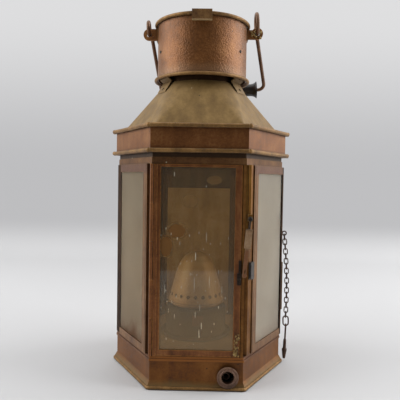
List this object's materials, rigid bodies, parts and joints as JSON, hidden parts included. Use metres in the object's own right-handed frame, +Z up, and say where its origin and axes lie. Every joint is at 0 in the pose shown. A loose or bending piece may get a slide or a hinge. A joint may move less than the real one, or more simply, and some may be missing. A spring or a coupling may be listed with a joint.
{
  "type": "ship's bulkhead candle lantern",
  "caption": "Six-sided glazed metal lantern with a hinged door, frosted side windows, a sloping roof under a round vented crown with a lid, and a swinging bail handle with a turned grip.",
  "frame": {"origin": "centre of the hexagonal foot, on the surface the lantern stands on", "axes": "+Z up the lantern's middle line, -Y out through the glazed door, +X to the latch side"},
  "size_m": [0.2305, 0.1952, 0.4436],
  "materials": {
    "base_plate": "khaki-brown patina, worn",
    "foot_wire": "khaki-brown patina, worn",
    "plinth_wall": "khaki-brown patina, worn",
    "vent_ferrule": "dark brown, tarnished",
    "sill_moulding": "orange-brown, rust-stained",
    "floor_pan": "dark brown, tarnished",
    "hinge_post": "orange-brown, rust-stained",
    "latch_post": "orange-brown, rust-stained",
    "corner_posts": "brown patina",
    "door_surround": "brown patina",
    "back_panel": "dark brown, tarnished",
    "rear_left_panel": "dark brown, tarnished",
    "rear_right_panel": "dark brown, tarnished",
    "back_liner": "dark brown, tarnished",
    "wall_bracket": "dark brown, tarnished",
    "left_window_frame": "brown patina",
    "right_window_frame": "brown patina",
    "left_window_channel": "dark brown, tarnished",
    "right_window_channel": "dark brown, tarnished",
    "left_window_glass": "frosted pane, dusty",
    "right_window_glass": "frosted pane, dusty",
    "lashing_bar": "dark brown, tarnished",
    "door_frame": "brown patina",
    "door_glass": "clear pane, stained",
    "door_glass_strips": "blackened seam",
    "door_hinge_leaf": "orange-brown, rust-stained",
    "door_catch_tab": "blackened",
    "body_hinge_knuckles": "orange-brown, rust-stained",
    "door_hinge_pin": "dull steel",
    "jamb_strip": "orange-brown, rust-stained",
    "latch_guide": "orange-brown, rust-stained",
    "latch_pivot": "dull steel",
    "latch_lever": "worn brown",
    "latch_keeper": "dull steel",
    "cornice": "khaki-brown patina, worn",
    "band": "khaki-brown patina, worn",
    "lower_band_bead": "khaki-brown patina, worn",
    "upper_band_bead": "khaki-brown patina, worn",
    "roof_cowl": "khaki-brown patina, worn",
    "chimney_collar": "copper-brown patina, orange-peel surface",
    "crown_wall": "copper-brown patina, orange-peel surface",
    "crown_beads": "dull yellow-brown",
    "crown_legs": "khaki-brown patina, worn",
    "crown_rivets": "dull yellow-brown",
    "crown_lid": "copper-brown patina, orange-peel surface",
    "lid_hinge": "copper-brown patina, orange-peel surface",
    "left_ear": "dull yellow-brown",
    "right_ear": "dull yellow-brown",
    "bail": "dull yellow-brown",
    "bail_grip": "turned, black-painted, worn",
    "chain_eye": "dull yellow-brown",
    "chain_links": "rusted brown wire",
    "lock_pin": "rusted brown wire",
    "drip_tray": "copper-brown burner metal",
    "burner_font": "copper-brown burner metal",
    "burner_gallery": "copper-brown burner metal",
    "burner_bell": "copper-brown burner metal",
    "wick": "flat woven cotton",
    "wick_spindle": "copper-brown burner metal"
  },
  "bodies": {
    "lantern_body": {"base_plate": "base_plate", "foot_wire": "foot_wire", "plinth_wall": "plinth_wall", "vent_ferrule": "vent_ferrule", "sill_moulding": "sill_moulding", "floor_pan": "floor_pan", "hinge_post": "hinge_post", "latch_post": "latch_post", "corner_posts": "corner_posts", "door_surround": "door_surround", "back_panel": "back_panel", "rear_left_panel": "rear_left_panel", "rear_right_panel": "rear_right_panel", "back_liner": "back_liner", "wall_bracket": "wall_bracket", "left_window_frame": "left_window_frame", "right_window_frame": "right_window_frame", "left_window_channel": "left_window_channel", "right_window_channel": "right_window_channel", "left_window_glass": "left_window_glass", "right_window_glass": "right_window_glass", "lashing_bar": "lashing_bar", "body_hinge_knuckles": "body_hinge_knuckles", "door_hinge_pin": "door_hinge_pin", "jamb_strip": "jamb_strip", "latch_guide": "latch_guide", "latch_pivot": "latch_pivot", "latch_keeper": "latch_keeper", "cornice": "cornice", "band": "band", "lower_band_bead": "lower_band_bead", "upper_band_bead": "upper_band_bead", "roof_cowl": "roof_cowl", "chimney_collar": "chimney_collar", "crown_wall": "crown_wall", "crown_beads": "crown_beads", "crown_legs": "crown_legs", "crown_rivets": "crown_rivets", "lid_hinge": "lid_hinge", "left_ear": "left_ear", "right_ear": "right_ear", "chain_eye": "chain_eye", "drip_tray": "drip_tray", "burner_font": "burner_font", "burner_gallery": "burner_gallery"},
    "door": {"door_frame": "door_frame", "door_glass": "door_glass", "door_glass_strips": "door_glass_strips", "door_hinge_leaf": "door_hinge_leaf", "door_catch_tab": "door_catch_tab"},
    "latch": {"latch_lever": "latch_lever"},
    "lid": {"crown_lid": "crown_lid"},
    "bail": {"bail": "bail"},
    "grip": {"bail_grip": "bail_grip"},
    "chain": {"chain_links": "chain_links"},
    "pin": {"lock_pin": "lock_pin"},
    "bell": {"burner_bell": "burner_bell"},
    "wick": {"wick": "wick"},
    "wick_wheel": {"wick_spindle": "wick_spindle"}
  },
  "joints": [
    {"name": "door_swing", "type": "hinge", "parent": "lantern_body", "child": "door", "pos_m": [-0.0516, -0.0914, 0.143], "axis": [0, 0, -1], "range_deg": [0, 110]},
    {"name": "latch_swing", "type": "hinge", "parent": "lantern_body", "child": "latch", "pos_m": [0.05665, -0.094, 0.191], "axis": [0, -1, 0], "range_deg": [-4, 40]},
    {"name": "lid_swing", "type": "hinge", "parent": "lantern_body", "child": "lid", "pos_m": [0, 0.0632, 0.4257], "axis": [-1, 0, 0], "range_deg": [0, 100]},
    {"name": "bail_swing", "type": "hinge", "parent": "lantern_body", "child": "bail", "pos_m": [0, 0, 0.42566], "axis": [0.9986, 0, 0.0523], "range_deg": [0, 265]},
    {"name": "grip_spin", "type": "hinge", "parent": "bail", "child": "grip", "pos_m": [0.01941, 0.06905, 0.35704], "axis": [0.9986, 0, 0.0523], "continuous": true},
    {"name": "chain_swing", "type": "hinge", "parent": "lantern_body", "child": "chain", "pos_m": [0.10903, 0.005, 0.1652], "axis": [0, -1, 0], "range_deg": [0, 100]},
    {"name": "pin_swing", "type": "hinge", "parent": "chain", "child": "pin", "pos_m": [0.11348, 0.005, 0.04949], "axis": [0, -1, 0], "range_deg": [0, 80]},
    {"name": "bell_lift", "type": "slide", "parent": "lantern_body", "child": "bell", "axis": [0, 0, 1], "range_m": [0, 0.03]},
    {"name": "wick_turn", "type": "hinge", "parent": "lantern_body", "child": "wick_wheel", "pos_m": [-0.003, 0.0047, 0.0769], "axis": [-1, 0, 0], "range_deg": [0, 120]},
    {"name": "wick_raise", "type": "slide", "parent": "lantern_body", "child": "wick", "axis": [0, 0, 1], "range_m": [0, 0.00649]}
  ],
  "couplings": [
    {"joint": "wick_turn", "follows": "wick_raise", "rad_per_m": 322.58}
  ]
}
